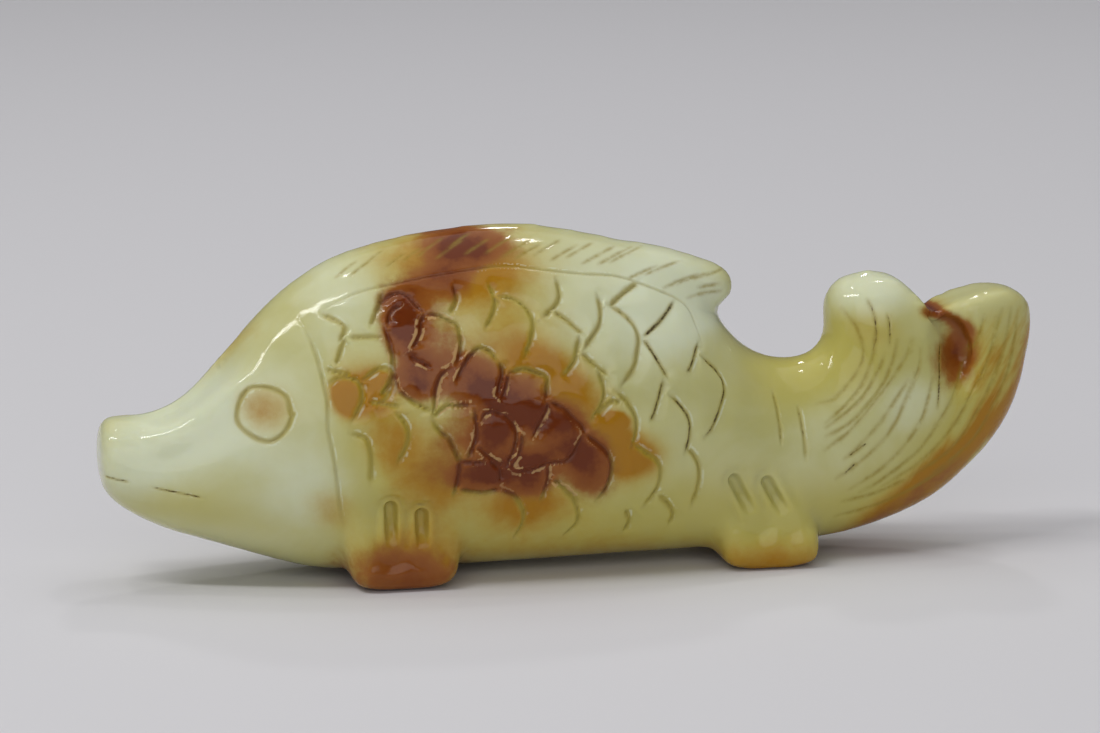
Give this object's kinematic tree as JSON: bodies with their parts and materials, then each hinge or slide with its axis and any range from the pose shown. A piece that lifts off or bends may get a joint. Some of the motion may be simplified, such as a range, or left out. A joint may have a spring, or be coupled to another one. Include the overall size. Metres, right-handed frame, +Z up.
{
  "type": "jade fish figurine",
  "caption": "Carved pale jade fish with russet patches, incised scales, an upswept two-lobed tail and four small fin feet that it stands on.",
  "frame": {"origin": "on the table under the middle of the fish's box", "axes": "+X towards the tail, +Y towards the far flank, +Z up from the table"},
  "size_m": [0.094, 0.022, 0.0343],
  "materials": {
    "jade": "polished stone, pale celadon green with russet and amber skin patches and dirt in the incised lines"
  },
  "bodies": {
    "root": {"jade_fish": "jade"}
  },
  "joints": []
}
